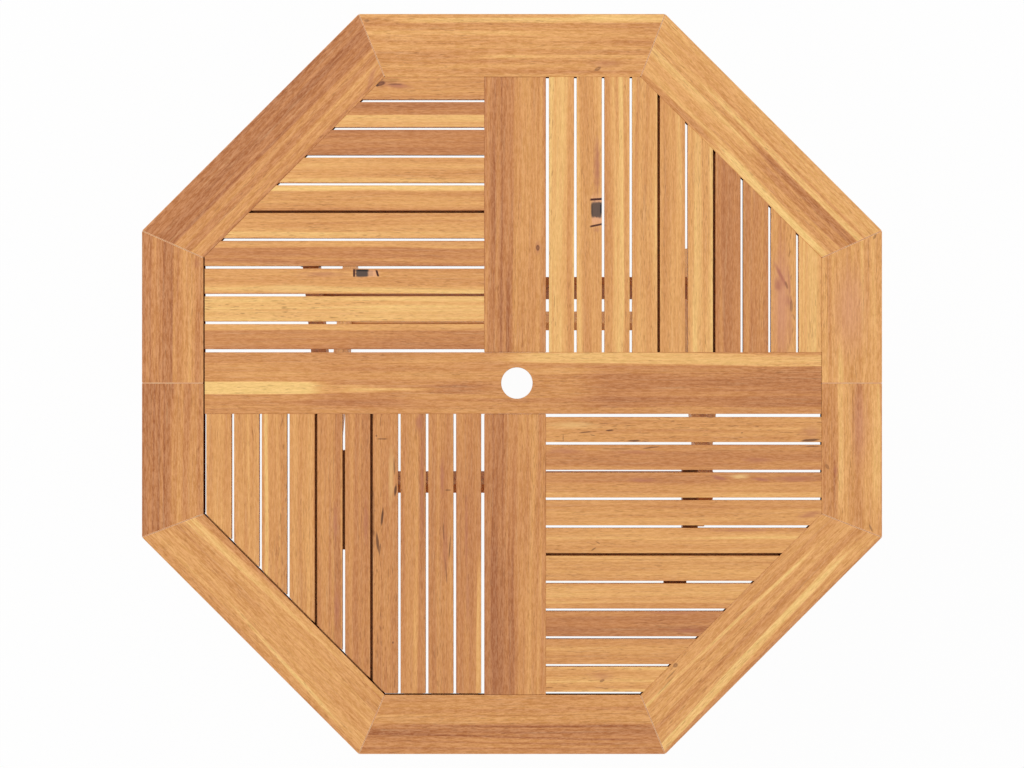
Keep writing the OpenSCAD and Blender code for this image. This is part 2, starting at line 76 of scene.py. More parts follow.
camera = bpy.data.objects.new("camera", bpy.data.cameras.new("camera"))
camera.location = (0, 0, view["height"])
camera.data.lens = view["lens"]
camera.data.sensor_width = view["sensor"]
camera.data.clip_end = view["clip"]
bpy.context.scene.collection.objects.link(camera)
bpy.context.scene.camera = camera
bpy.context.scene.view_settings.view_transform = "Standard"
say("camera set")


# Shader maths

class Wire:  # a socket that takes part in plain expressions
    def __init__(self, finish, socket):
        self.finish = finish
        self.socket = socket

    def maths(self, operation, *values):
        return self.finish.node("Math", {"operation": operation}, values)

    def __add__(self, other):
        return self.maths("ADD", self, other)

    def __sub__(self, other):
        return self.maths("SUBTRACT", self, other)

    def __rsub__(self, other):
        return self.maths("SUBTRACT", other, self)

    def __mul__(self, other):
        return self.maths("MULTIPLY", self, other)

    def __truediv__(self, other):
        return self.maths("DIVIDE", self, other)

    def __abs__(self):
        return self.maths("ABSOLUTE", self)

    __radd__ = __add__
    __rmul__ = __mul__

    def root(self):
        return self.maths("SQRT", self)

    def step(self, low, high):  # 0 below low, 1 above high, smooth between them
        return self.finish.node("MapRange", {"interpolation_type": "SMOOTHSTEP"},
                                {"Value": self, "From Min": low, "From Max": high})


class Finish:  # the nodes of a material or of the world
    def __init__(self, owner):
        owner.use_nodes = True
        self.owner = owner
        self.tree = owner.node_tree
        self.tree.nodes.clear()

    def node(self, kind, settings=None, inputs=(), out=0):  # inputs are values or other wires
        made = self.tree.nodes.new("ShaderNode" + kind)
        for name, value in (settings or {}).items():
            if name == "stops":
                self.setStops(made.color_ramp, value)
            else:
                setattr(made, name, value)
        pairs = inputs.items() if isinstance(inputs, dict) else enumerate(inputs)
        for name, value in pairs:
            if isinstance(value, Wire):
                self.tree.links.new(value.socket, made.inputs[name])
            else:
                made.inputs[name].default_value = value
        return Wire(self, made.outputs[out]) if made.outputs else made

    def setStops(self, ramp, stops):
        while len(ramp.elements) < len(stops):
            ramp.elements.new(0.5)
        for element, (place, colour) in zip(ramp.elements, stops):
            element.position = place
            element.color = colour

    def split(self, vector):
        parts = self.node("SeparateXYZ", None, [vector])
        return [Wire(self, socket) for socket in parts.socket.node.outputs]

    def noise(self, x, y, z, detail, rough=0.5):
        at = self.node("CombineXYZ", None, [x, y, z])
        return self.node("TexNoise", None,
                         {"Vector": at, "Scale": 1.0, "Detail": detail, "Roughness": rough})

    def evenNoise(self, scale, detail):  # the same in all directions
        x, y, z = self.split(self.node("TexCoord", out="Object"))
        return self.noise(x * scale, y * scale, z * scale, detail)

    def lineNoise(self, w, detail, rough):
        return self.node("TexNoise", {"noise_dimensions": "1D"},
                         {"W": w, "Scale": 1.0, "Detail": detail, "Roughness": rough})

    def mix(self, share, first, second, blend="MIX"):  # 6, 7 and 2 are the colour sockets
        return self.node("Mix", {"data_type": "RGBA", "blend_type": blend},
                         {0: share, 6: first, 7: second}, 2)

    def whiteRays(self):  # 1 for what the camera sees, also in a reflection or through glass
        path = self.node("LightPath").socket.node.outputs
        seen = Wire(self, path["Is Camera Ray"])
        for name in ("Is Glossy Ray", "Is Transmission Ray"):
            seen = seen.maths("MAXIMUM", seen, Wire(self, path[name]))
        return seen

    def surface(self, shader):  # ends a material
        self.node("OutputMaterial", None, {"Surface": shader})
        return self.owner


def shade(red, green, blue):  # a colour as seen on a screen, 0 to 255, as the shader wants it
    parts = [value / 255 for value in (red, green, blue)]
    linear = [p / 12.92 if p <= 0.04045 else ((p + 0.055) / 1.055) ** 2.4 for p in parts]
    return (*linear, 1.0)


# Wood

mm = 0.001  # bands and marks are given in millimetres

acacia = {
    "tones": {"pale": (0.0, shade(244, 199, 124)), "honey": (0.3, shade(229, 169, 102)),
              "tan": (0.5, shade(213, 149, 88)), "rosy": (0.7, shade(198, 132, 80)),
              "brown": (1.0, shade(172, 108, 66))},
    "line": shade(140, 84, 46), "lineShare": 0.2,
    "glint": shade(252, 212, 156), "glintShare": 0.14,
    "pore": shade(112, 62, 30), "dashShare": 0.05, "speckShare": 0.14,
    "fleck": (0.23, 0.15, 0.09), "flecks": 0.5,  # what the fine flecks add and take, and how much
    "pores": 0.25, "manyPores": 0.42,  # how dark the pores are in their patches
    "darken": (0.65, 1.05, 1.5),  # powers for red, green and blue of the painted shade: the darker, the redder
    "relief": {"fine": 0.5, "threads": 0.2, "dashes": 0.5, "specks": 0.45},
    "bump": 0.3,
    "depth": 0.0004,
    "rough": 0.44, "fineRough": 0.16, "poreRough": 0.12,
    "gloss": 0.35,
}

# Noise in the wood: its scale along, across and through a board, per metre, then its shift
# through the board, detail and roughness
woodNoise = {
    "drift": (1.7, 3, 3, 0, 2, 0.5),
    "waver": (6, 16, 16, 9, 2, 0.5),
    "cloud": (5, 14, 14, 0, 2, 0.5),
    "patches": (3, 45, 45, 3, 2, 0.5),
    "streak": (2.4, 90, 90, 5, 3, 0.65),
    "ragged": (90, 260, 90, 0, 2, 0.5),
    "fine": (9, 260, 260, 0, 3, 0.6),
    "hair": (9, 380, 380, 8, 2, 0.6),
    "flecks": (75, 460, 460, 7, 2, 0.8),
    "dashes": (64, 480, 480, 0, 1, 0.5),
    "specks": (120, 1500, 1500, 0, 1, 0.5),
}

# Noise over the growth rings: its scale, how many times the seed, detail and roughness
ringNoise = {"broad": (70, 1, 1, 0.5), "middle": (230, 2, 2, 0.6), "threads": (620, 1, 2, 0.7)}

# How much each noise moves the tone, and how far the rings and lanes stray, in metres
toneShares = {"broad": 0.44, "middle": 0.3, "streak": 0.6, "cloud": 0.22, "hair": 0.3}
stray = {"ring": 0.003, "lane": 0.01}

# Between which values each noise comes in
woodSteps = {"threads": (0.53, 0.7), "threadPatches": (0.44, 0.6), "glints": (0.58, 0.7),
             "flecks": (0.34, 0.66), "dashes": (0.6, 0.72), "specks": (0.58, 0.7),
             "porePatches": (0.35, 0.6)}

# A band's edges and ends: how far they stray and how soft they are, in metres
bandEdge = {"drift": 0.012, "waver": 0.004, "inside": 0.0012, "outside": 0.0014,
            "endDrift": 0.16, "endSoft": 0.04}

# What a mark looks like: its colour, how soft its rim is, how ragged, and whether it is square
markKinds = {
    "crack": (shade(84, 46, 26), 0.45, 0.7, False),
    "bar": (shade(66, 20, 6), 0.3, 0.3, True),
    "stain": (shade(82, 66, 58), 0.25, 0.4, True),
    "ink": (shade(22, 14, 14), 0.5, 0.6, True),
    "halo": (shade(238, 176, 140), 0.6, 0.5, True),
    "blush": (shade(176, 108, 84), 0.9, 0.8, False),
    "glow": (shade(240, 196, 130), 0.9, 0.6, False),
    "rose": (shade(214, 150, 122), 0.95, 0.3, False),
    "knot": (shade(112, 66, 42), 0.5, 0.5, False),
}
markEdge = {"end": 1.1, "upperSide": (0.002, 0.005), "knotRim": (0.1, 0.7), "rimShare": 0.35,
            "fillShare": 0.7}

# Marks on the top, in millimetres: kind, x, y, half length, half width, slope, strength
marks = {
    "slat_upper_left_10": [
        ("crack", -197, 492, 20, 4, 0, 0.25), ("blush", -186, 484, 28, 6, -0.08, 0.8),
        ("blush", -214, 487, 13, 9, 0, 0.6), ("crack", -190, 486, 13, 1.2, 0, 0.55),
        ("crack", -214, 495, 5, 5, 0, 0.45), ("knot", -213, 487, 8, 4.5, 0.25, 1),
        ("crack", -218.5, 484, 3, 2.2, 0, 0.9)],
    "frame_upper_left": [("blush", -228, 496, 24, 7, 0.5, 0.45)],
    "slat_upper_left_3": [
        ("blush", -306, 178, 50, 6, 0, 0.5), ("halo", -237, 179.5, 23, 7, 0, 0.6),
        ("stain", -243.5, 179.5, 11, 6.2, 0, 1), ("stain", -230, 179.5, 5, 5, 0, 0.25),
        ("ink", -243, 184.2, 12, 1.9, 0, 1),
        ("bar", -256, 180, 1.9, 7, 0, 1), ("bar", -218.4, 179.6, 1.9, 6, -0.3, 1),
        ("glow", -355, 155, 60, 9, 0, 0.4)],
    "slat_upper_right_2": [
        ("blush", 138, 352, 60, 7, 0, 0.7), ("halo", 137.5, 281, 30, 10.5, 0, 0.6),
        ("stain", 137, 282.5, 13.5, 9.4, 0, 0.95), ("ink", 144.2, 284, 11, 1.8, 0, 0.9),
        ("ink", 129.4, 282, 12, 1.8, 0, 0.45), ("bar", 137, 299.5, 2, 11, -0.06, 1),
        ("bar", 137, 257.4, 1.8, 11, -0.2, 0.95), ("blush", 137, 250, 5, 8, 0, 0.4)],
    "slat_upper_right_9": [
        ("rose", 438, 130, 130, 19, 0, 0.55), ("blush", 436, 176, 30, 4.5, 0.49, 0.9),
        ("blush", 432, 161, 15, 9, 0, 0.75), ("blush", 449, 165, 36, 3, 0.1, 0.5),
        ("crack", 445, 160, 8, 2.2, 0.3, 0.4), ("blush", 448, 134, 12, 8, 0, 0.6),
        ("crack", 453, 126, 11, 3, 0, 0.45), ("blush", 452, 92, 50, 5, 0, 0.4)],
    "slat_lower_right_1": [
        ("crack", 158, -75, 7, 1.5, 0.05, 0.85), ("crack", 120, -78, 11, 1.3, 0.1, 0.7),
        ("crack", 131, -83, 5, 1.2, -0.2, 0.5), ("crack", 83, -88, 1.2, 7, 0, 0.45),
        ("crack", 198, -92, 13, 1.6, 0, 0.8), ("crack", 484, -91, 16, 2.6, 0.08, 0.8),
        ("crack", 373, -79, 2.2, 1.2, 0, 0.5), ("glow", 98, -66, 50, 7, 0, 0.5),
        ("blush", 484, -78, 24, 14, 0, 0.4)],
    "slat_lower_right_2": [
        ("crack", 226, -103, 16, 1.3, 0.12, 0.6), ("crack", 172, -105, 34, 1.1, 0, 0.4),
        ("blush", 86, -108, 42, 6, 0, 0.5), ("blush", 398, -124, 34, 6, 0, 0.5),
        ("crack", 486, -101, 14, 1.5, 0, 0.55), ("blush", 200, -110, 46, 4, 0, 0.4)],
    "slat_lower_right_3": [
        ("blush", 335, -152, 17, 4, -0.2, 0.8), ("blush", 404, -155, 20, 4, -0.1, 0.8),
        ("glow", 369, -150, 18, 5, 0, 0.8), ("blush", 458, -154, 44, 6, 0, 0.6),
        ("blush", 212, -156, 30, 5, 0, 0.6)],
    "slat_lower_right_4": [("blush", 482, -212, 26, 7, 0.2, 0.55)],
    "slat_lower_right_5": [
        ("crack", 132, -268, 5, 1.6, 0.6, 0.6), ("crack", 139, -257, 4, 1.2, -0.5, 0.5),
        ("blush", 371, -237, 70, 4, 0, 0.5)],
    "slat_lower_right_8": [
        ("blush", 285, -400, 30, 5, 0, 0.5), ("blush", 262, -371, 70, 3, 0, 0.4)],
    "slat_lower_right_10": [
        ("knot", 146, -481, 4.5, 2.6, 0.3, 0.7), ("blush", 146, -474, 26, 9, 0, 0.35)],
    "frame_lower_right": [
        ("knot", 265, -456, 5, 4, 0, 0.65), ("crack", 257, -472, 13, 1.3, 0, 0.45),
        ("crack", 250, -488, 24, 1.3, 0.05, 0.35), ("crack", 572, -223, 7, 3, 0, 0.5)],
    "slat_lower_left_4": [
        ("crack", -210, -89, 1.4, 11, 0, 0.55), ("crack", -191, -134, 16, 1.3, 0.02, 0.65),
        ("crack", -189, -172, 11, 2.3, -0.1, 0.9), ("crack", -210.5, -216, 17, 2.1, -0.1, 0.9),
        ("crack", -224, -218, 70, 0.9, 0, 0.6), ("crack", -218, -257, 18, 2.6, 0.1, 0.8),
        ("crack", -214, -268, 12, 1.3, -0.1, 0.6), ("crack", -220, -84, 1.8, 1.8, 0, 0.6),
        ("crack", -193, -419, 2.2, 1.6, 0, 0.7), ("glow", -196, -150, 60, 6, 0, 0.5)],
    "slat_lower_left_3": [
        ("blush", -151, -62, 22, 8, 0, 0.6), ("blush", -146, -175, 110, 4, 0, 0.5),
        ("crack", -179, -172, 3, 1.2, 0, 0.5)],
    "slat_lower_left_2": [
        ("blush", -113, -150, 42, 5, 0, 0.6), ("crack", -104, -172, 1.2, 6, 0.1, 0.6),
        ("crack", -111, -240, 17, 1.3, 0.05, 0.55), ("crack", -101, -266, 22, 1.4, -0.06, 0.65),
        ("crack", -107, -302, 24, 1.4, 0.08, 0.5), ("blush", -108, -270, 60, 6, 0, 0.45)],
    "slat_lower_left_1": [
        ("blush", -74, -240, 90, 4, 0, 0.5), ("blush", -72, -345, 60, 4, 0, 0.4)],
    "slat_lower_left_6": [
        ("blush", -287, -224, 42, 6, 0, 0.5), ("blush", -284, -362, 46, 6, 0, 0.5)],
    "slat_lower_left_5": [("blush", -237, -224, 46, 5, 0, 0.5)],
    "frame_top": [
        ("knot", 139, 511, 6, 3.4, 0.4, 0.65), ("blush", 152, 519, 40, 8, 0, 0.4),
        ("crack", -236, 589, 5, 3, 0, 0.4)],
    "frame_right_upper": [
        ("rose", 548, 120, 100, 36, 0, 0.4), ("crack", 588, 239, 6, 2.4, -0.4, 0.5)],
    "frame_right_lower": [
        ("rose", 565, -70, 90, 18, 0, 0.3), ("knot", 511, -134, 5, 3.4, 0.4, 0.5),
        ("blush", 525, -142, 12, 4, 0, 0.5), ("crack", 582, -234, 7, 2, 0.4, 0.5)],
    "frame_left_upper": [("blush", -511, 196, 12, 7, 0, 0.4)],
    "spine_board_upper": [
        ("blush", 42, 221, 16, 7, 0, 0.5), ("knot", 42, 221, 5.5, 3.6, 0, 0.9)],
}

# What is drawn by lot for each board: where the pith lies beside and below it, in metres, how
# its rings close in along it, and how far they wander
lots = {"seed": (0, 400), "pithAside": (0.07, 0.16), "pithBelow": (-0.12, -0.05),
        "taper": (0.002, 0.012), "wander": (0.01, 0.03)}
dice = random.Random(41)


def grainOf(tone, **more):  # how one board's grain runs and what it looks like
    grain = {
        "tone": tone,
        "seed": round(dice.uniform(*lots["seed"]), 2),
        "pith": (dice.choice((-1, 1)) * dice.uniform(*lots["pithAside"]),
                 dice.uniform(*lots["pithBelow"])),
        "taper": dice.choice((-1, 1)) * dice.uniform(*lots["taper"]),
        "wander": dice.uniform(*lots["wander"]),
        "bands": [],
        "pores": acacia["pores"],
        "flecks": acacia["flecks"],
        "dark": 1.0,
    }
    grain.update(more)
    return grain


def bandMask(u, v, drift, waver, middle, half, span):  # the span is from, to and slope
    slope = span[2] if len(span) > 2 else 0.0
    off = v - middle * mm - u * slope + drift * bandEdge["drift"] + waver * bandEdge["waver"]
    mask = 1 - abs(off).step(half * mm - bandEdge["inside"], half * mm + bandEdge["outside"])
    if span:
        along = u + drift * bandEdge["endDrift"]
        start, end = span[0] * mm, span[1] * mm
        soft = bandEdge["endSoft"]
        mask = mask * along.step(start - soft, start + soft)
        mask = mask * (1 - along.step(end - soft, end + soft))
    return mask


def markMask(kind, along, aside, w, ragged, length, width, slope):
    _, rim, rag, square = markKinds[kind]
    if square:  # the slope leans its short sides
        far, beside = (along - aside * slope) / (length * mm), aside / (width * mm)
        far, beside = far * far, beside * beside
        far, beside = far * far, beside * beside
        far = (far * far + beside * beside).root().root().root() + ragged * rag
    else:
        far, beside = along / (length * mm), (aside - along * slope) / (width * mm)
        far = (far * far + beside * beside).root() + ragged * rag
    mask = 1 - far.step(1 - rim, markEdge["end"])
    if square:  # a stain stays on the upper side
        mask = mask * w.step(*markEdge["upperSide"])
    if kind == "knot":  # darkest at its rim
        dark = far.step(*markEdge["knotRim"]) * markEdge["rimShare"] + markEdge["fillShare"]
        mask = mask * dark
    return mask


def woodFinish(name, place, turn, grain):
    finish = Finish(bpy.data.materials.new(name))
    at = finish.node("TexCoord", out="Object")
    local = finish.node("Mapping", {"vector_type": "TEXTURE"},
                        {"Vector": at, "Location": place, "Rotation": turn})
    u, v, w = finish.split(local)  # along the grain, across the board and up through it
    seed = grain["seed"]

    def noise(kind, side=v):
        along, aside, through, shift, detail, rough = woodNoise[kind]
        return finish.noise(u * along + seed, side * aside, w * through + shift, detail, rough)

    def overRings(kind):
        scale, times, detail, rough = ringNoise[kind]
        return finish.lineNoise(ring * scale + seed * times, detail, rough)

    drift = noise("drift") - 0.5
    waver = noise("waver") - 0.5
    across = v - grain["pith"][0] + drift * grain["wander"]
    deep = w - grain["pith"][1]
    ring = (across * across + deep * deep).root() + u * grain["taper"] + waver * stray["ring"]
    lane = v + drift * stray["lane"] + u * grain["taper"]

    hair = noise("hair", lane)
    parts = {"broad": overRings("broad"), "middle": overRings("middle"),
             "streak": noise("streak", lane), "cloud": noise("cloud"), "hair": hair}
    tone = grain["tone"]
    for kind, part in parts.items():
        tone = (part - 0.5) * toneShares[kind] + tone
    for middle, half, shift, *span in grain["bands"]:
        tone = tone + bandMask(u, v, drift, waver, middle, half, span) * shift
    stops = list(acacia["tones"].values())
    colour = finish.node("ValToRGB", {"stops": stops}, {"Fac": tone})

    threads = overRings("threads")
    patches = noise("patches")
    lines = threads.step(*woodSteps["threads"]) * patches.step(*woodSteps["threadPatches"])
    colour = finish.mix(lines * acacia["lineShare"], colour, acacia["line"])
    glints = hair.step(*woodSteps["glints"])
    colour = finish.mix(glints * acacia["glintShare"], colour, acacia["glint"])
    flecks = noise("flecks", lane).step(*woodSteps["flecks"]) - 0.5
    colour = finish.node("VectorMath", {"operation": "MULTIPLY_ADD"},
                         [flecks * grain["flecks"], acacia["fleck"], colour])
    dashes = noise("dashes", lane).step(*woodSteps["dashes"])
    specks = noise("specks").step(*woodSteps["specks"])
    dashShare = patches.step(*woodSteps["porePatches"]) * grain["pores"] + acacia["dashShare"]
    pores = dashes * dashShare + specks * acacia["speckShare"]
    colour = finish.mix(pores, colour, acacia["pore"])

    ragged = noise("ragged") - 0.5
    for kind, x, y, length, width, slope, strength in marks.get(name, ()):
        spot = Matrix.Rotation(-turn[2], 2) @ (Vector((x * mm, y * mm)) - Vector(place[:2]))
        mask = markMask(kind, u - spot.x, v - spot.y, w, ragged, length, width, slope)
        colour = finish.mix(mask * strength, colour, markKinds[kind][0])
    # painted shade: the colour of the pieces under the top and of the legs is darkened
    if grain["dark"] != 1.0:
        darken = (*(grain["dark"] ** power for power in acacia["darken"]), 1.0)
        colour = finish.mix(1.0, colour, darken, "MULTIPLY")

    fine = noise("fine")
    relief = acacia["relief"]
    height = fine * relief["fine"] + threads * relief["threads"]
    height = height - dashes * relief["dashes"] - specks * relief["specks"]
    bump = finish.node("Bump", None, {"Strength": acacia["bump"], "Distance": acacia["depth"],
                                      "Height": height})
    rough = fine * acacia["fineRough"] + dashes * acacia["poreRough"] + acacia["rough"]
    shader = finish.node("BsdfPrincipled", None, {
        "Base Color": colour, "Roughness": rough, "Normal": bump,
        "Specular IOR Level": acacia["gloss"]})
    return finish.surface(shader)


# Eased edges: their width on each kind of piece, in metres, and how they are made, with the
# angles in degrees
easing = {"board": 0.0009, "slat": 0.0006, "under": 0.0012, "leg": 0.0015, "plate": 0.0004,
          "screw": 0.0003, "segments": 2, "sharp": 35, "flat": 1, "weld": 0.00001}


def easeEdges(piece, kind, loose=False):
    if loose:  # a CAD node: its triangles are joined, then those of each flat side made one face
        weld = piece.modifiers.new("weld", "WELD")
        weld.merge_threshold = easing["weld"]
        flat = piece.modifiers.new("flat", "DECIMATE")
        flat.decimate_type = "DISSOLVE"
        flat.angle_limit = math.radians(easing["flat"])
    bevel = piece.modifiers.new("ease", "BEVEL")
    bevel.width = easing[kind]
    bevel.segments = easing["segments"]
    bevel.limit_method = "ANGLE"
    bevel.angle_limit = math.radians(easing["sharp"])
    bevel.harden_normals = not loose
    bevel.use_clamp_overlap = False


def dress(node, material, kind=None):  # without a kind its edges stay sharp
    piece = nodes[node]
    for slot in piece.material_slots:
        slot.material = material
    if kind:
        easeEdges(piece, kind, loose=True)


def middleOf(node):
    low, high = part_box(node)
    return (low + high) / 2


def dressWood(node, turn, grain, kind):
    dress(node, woodFinish(node, tuple(middleOf(node)), turn, grain), kind)


# Frame and centre boards. The angle is where a frame board faces, outwards from the middle, or
# which way a centre board's grain runs. A band has its distance from the board's middle line,
# outwards on a frame board, up on the cross board and to the left on a spine board, then its half
# width and what it adds to the tone. It may have where it starts and ends, and its slope

topMid = middleOf("cross_board")
edges = {
    "left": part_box("frame_left_upper")[1].x,
    "right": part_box("frame_right_upper")[0].x,
    "top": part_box("frame_top")[0].y,
    "bottom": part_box("frame_bottom")[1].y,
    "level": cadBox[1][2],
    "out": cadBox[1][0],
}
fieldMid = Vector(((edges["left"] + edges["right"]) / 2, (edges["top"] + edges["bottom"]) / 2, 0))
fieldReach = (edges["top"] - edges["bottom"]) / 2
boardLine = (edges["out"] + fieldReach) / 2
boardFlecks = {"frame": 0.75, "centre": 0.6}  # more than the slats have

boardLooks = {
    "frame_top": (90, grainOf(0.47, bands=[
        (39, 4, -0.3, -190, 90), (42, 7, -0.25, 110, 320), (20, 2, -0.15, -260, 20),
        (-20, 2.5, -0.3, -60, 230)])),
    "frame_upper_right": (45, grainOf(0.32, bands=[
        (-40, 6, 0.25, -260, -40, 0.05), (-5, 13, 0.35, 20, 330), (-44, 5, -0.3, -40, 220),
        (14, 5, -0.2, -100, 240)])),
    "frame_right_upper": (0, grainOf(0.4, bands=[(-17, 4.5, -0.25, -70, 10)])),
    "frame_right_lower": (0, grainOf(0.49, bands=[
        (42, 5, -0.28, 0, 190), (-17, 4.5, -0.3, -10, 190), (-28, 1.5, 0.35, 130, 190),
        (12, 10, 0.12, 20, 120)])),
    "frame_lower_right": (-45, grainOf(0.43, bands=[
        (30, 6, -0.3, -200, 320, 0.034), (-20, 2.5, -0.28, -120, 320, -0.033),
        (46, 3, 0.12)])),
    "frame_bottom": (-90, grainOf(0.54, bands=[
        (24, 24, 0.12), (3.5, 1.3, 0.3, -215, 185), (20.5, 1.6, 0.32, -215, 235, -0.022),
        (30, 1.2, 0.2, -200, 200, -0.01), (39, 1.2, 0.18), (13, 1, 0.16, -160, 240)])),
    "frame_lower_left": (-135, grainOf(0.44, bands=[
        (-38, 8, -0.24, -320, 320, 0.06), (27, 3, -0.25, -200, 100, -0.05)])),
    "frame_left_lower": (180, grainOf(0.66, bands=[
        (25, 24, 0.12), (1, 1.8, 0.34, 0, 200), (14, 1.2, 0.26), (22, 1, 0.18), (31, 1.2, 0.2),
        (-25, 18, -0.06)])),
    "frame_left_upper": (180, grainOf(0.6, bands=[
        (25, 24, 0.14), (0, 1.6, 0.32), (13, 1.2, 0.28), (24, 1.1, 0.2), (34, 1, 0.14),
        (-25, 18, -0.06)])),
    "frame_upper_left": (135, grainOf(0.59, bands=[(24, 26, 0.26)])),
}

for node, (angle, grain) in boardLooks.items():
    facing = math.radians(angle)
    grain["flecks"] = boardFlecks["frame"]
    place = (boardLine * math.cos(facing), boardLine * math.sin(facing), topMid.z)
    dress(node, woodFinish(node, place, (0, 0, facing - math.pi / 2), grain), "board")

centreLooks = {
    "cross_board": (0, grainOf(0.56, bands=[
        (-8, 10, -0.75, -600, -320), (-9, 6, -0.3, -290, -230), (-10, 2, -0.35, -250, -150),
        (-27, 11, 0.14, -340, -180), (-9, 8, 0.2, -120, -60),
        (43, 9, -0.34, 0, 600, -0.012), (-6, 34, 0.2, 120, 600)])),
    "spine_board_upper": (90, grainOf(0.54, bands=[
        (27, 24, 0.16), (11, 3, 0.24, -250, -90), (22, 1.5, 0.2), (34, 1.4, 0.2, -300, 120),
        (-22, 14, -0.06)])),
    "spine_board_lower": (90, grainOf(0.61, bands=[
        (26, 25, 0.12), (26, 25, 0.12, -600, 10), (20, 1.4, 0.2, 40, 250), (36, 1.5, 0.22),
        (9, 1.2, 0.18, -240, 60), (-24, 20, -0.06)])),
}

for node, (angle, grain) in centreLooks.items():
    grain["flecks"] = boardFlecks["centre"]
    dressWood(node, (0, 0, math.radians(angle)), grain, "board")
say("frame and centre boards finished")


# Slats: each one a piece of its own, from the centre boards out to the frame

# "first" lies between a centre board and its first slat. An end that is smaller than the share
# "smallestEnd" of a full one has no tenon
slat = {"width": 0.0407, "gap": 0.0043, "first": 0.005, "thick": 0.018, "tenon": 0.009,
        "tenonInset": 0.005, "smallestEnd": 0.55}

# In each quarter: its side in X and Y, which way its slats run, how far they end short of the
# frame, which ones have many dark pores, and then the slats from the centre boards out. A slat
# has its tone, 0 pale to 1 brown, and its bands, up from its middle line, or to the left of it
# where slats run along Y
slatQuarters = {
    "slats_upper_left": {
        "side": (-1, 1), "along": "x", "short": 0.0, "porous": (2,), "slats": [
            (0.68, [(16, 6, -0.32)]), (0.18, []), (0.4, [(-14, 5, -0.15)]), (0.66, [(15, 5, -0.3)]),
            (0.44, [(-15, 5, -0.2)]), (0.5, [(16, 5, -0.35)]), (0.36, [(-14, 5, -0.14)]),
            (0.82, [(-8, 12, -0.1)]), (0.24, [(10, 10.5, 0.5)]), (0.52, [])]},
    "slats_upper_right": {
        "side": (1, 1), "along": "y", "short": 0.0, "porous": (1, 9), "slats": [
            (0.2, [(-15, 5, 0.2)]), (0.37, []), (0.42, [(-6, 4, -0.25)]), (0.32, [(-10, 8, 0.14)]),
            (0.4, []), (0.16, [(16, 5, 0.16)]), (0.74, []), (0.62, []), (0.5, []), (0.26, [])]},
    "slats_lower_left": {
        "side": (-1, -1), "along": "y", "short": 0.0025, "porous": (4, 8), "slats": [
            (0.7, [(-16, 4, -0.35, -240, 0)]), (0.62, []), (0.53, [(-12, 5, 0.22)]), (0.6, []),
            (0.67, []), (0.53, [(-12, 6, 0.16)]), (0.45, []), (0.43, [(14, 3, -0.3), (-8, 8, 0.1)]),
            (0.42, []), (0.42, [])]},
    "slats_lower_right": {
        "side": (1, -1), "along": "x", "short": 0.0, "porous": (1, 10), "slats": [
            (0.43, []), (0.64, []), (0.48, [(13, 8, 0.14), (-16, 4, -0.2)]), (0.45, []),
            (0.4, [(4, 2, -0.15)]), (0.36, []), (0.32, [(-16, 5, 0.3)]), (0.74, []), (0.5, []),
            (0.36, [])]},
}


def cutBeyond(bm, point, normal):  # takes off what lies beyond a plane and closes the cut
    everything = bm.verts[:] + bm.edges[:] + bm.faces[:]
    cut = bmesh.ops.bisect_plane(bm, geom=everything, dist=0.001 * mm, plane_co=point,
                                 plane_no=normal, clear_outer=True)
    rim = [part for part in cut["geom_cut"] if isinstance(part, bmesh.types.BMEdge)]
    if rim:
        bmesh.ops.edgeloop_fill(bm, edges=rim)


def meshPiece(name, bm, material, body, smooth=True):
    bmesh.ops.recalc_face_normals(bm, faces=bm.faces[:])
    mesh = bpy.data.meshes.new(name)
    bm.to_mesh(mesh)
    bm.free()
    mesh.materials.append(material)
    if smooth:
        mesh.shade_smooth()
    piece = bpy.data.objects.new(name, mesh)
    bpy.context.scene.collection.objects.link(piece)
    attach(piece, body)
    return piece


def slatOutline(node, quarter, index):  # its sides in X and Y, before the diagonal cut
    sx, sy = quarter["side"]
    crossLow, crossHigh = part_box("cross_board")
    spineLow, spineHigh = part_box("spine_board_upper")
    edgeX = spineHigh.x if sx > 0 else spineLow.x
    edgeY = crossHigh.y if sy > 0 else crossLow.y
    reach = fieldReach - quarter["short"]
    farX, farY = fieldMid.x + sx * reach, fieldMid.y + sy * reach
    if node == "slats_upper_left":  # these end at the open joint, in line with the cross board
        farX = crossLow.x
    near = slat["first"] + index * (slat["width"] + slat["gap"])
    far = near + slat["width"]
    if quarter["along"] == "x":
        far = min(far, abs(farY - edgeY))
        return sorted((edgeX, farX)), sorted((edgeY + sy * near, edgeY + sy * far))
    far = min(far, abs(farX - edgeX))
    return sorted((edgeX + sx * near, edgeX + sx * far)), sorted((edgeY, farY))


def addTenons(bm, quarter):
    aside = 1 if quarter["along"] == "x" else 0
    upright, longSide = 0.5, 0.8  # an end's normal stays below these in Z and across the slat
    smallest = slat["smallestEnd"] * slat["width"] * slat["thick"]
    ends = [face for face in bm.faces if abs(face.normal.z) < upright
            and abs(face.normal[aside]) < longSide and face.calc_area() > smallest]
    for end in ends:
        push = end.normal * (slat["tenon"] + quarter["short"])
        bmesh.ops.inset_region(bm, faces=[end], thickness=slat["tenonInset"], use_even_offset=True)
        grown = bmesh.ops.extrude_face_region(bm, geom=[end])
        bmesh.ops.delete(bm, geom=[end], context="FACES_ONLY")
        moved = [part for part in grown["geom"] if isinstance(part, bmesh.types.BMVert)]
        bmesh.ops.translate(bm, vec=push, verts=moved)


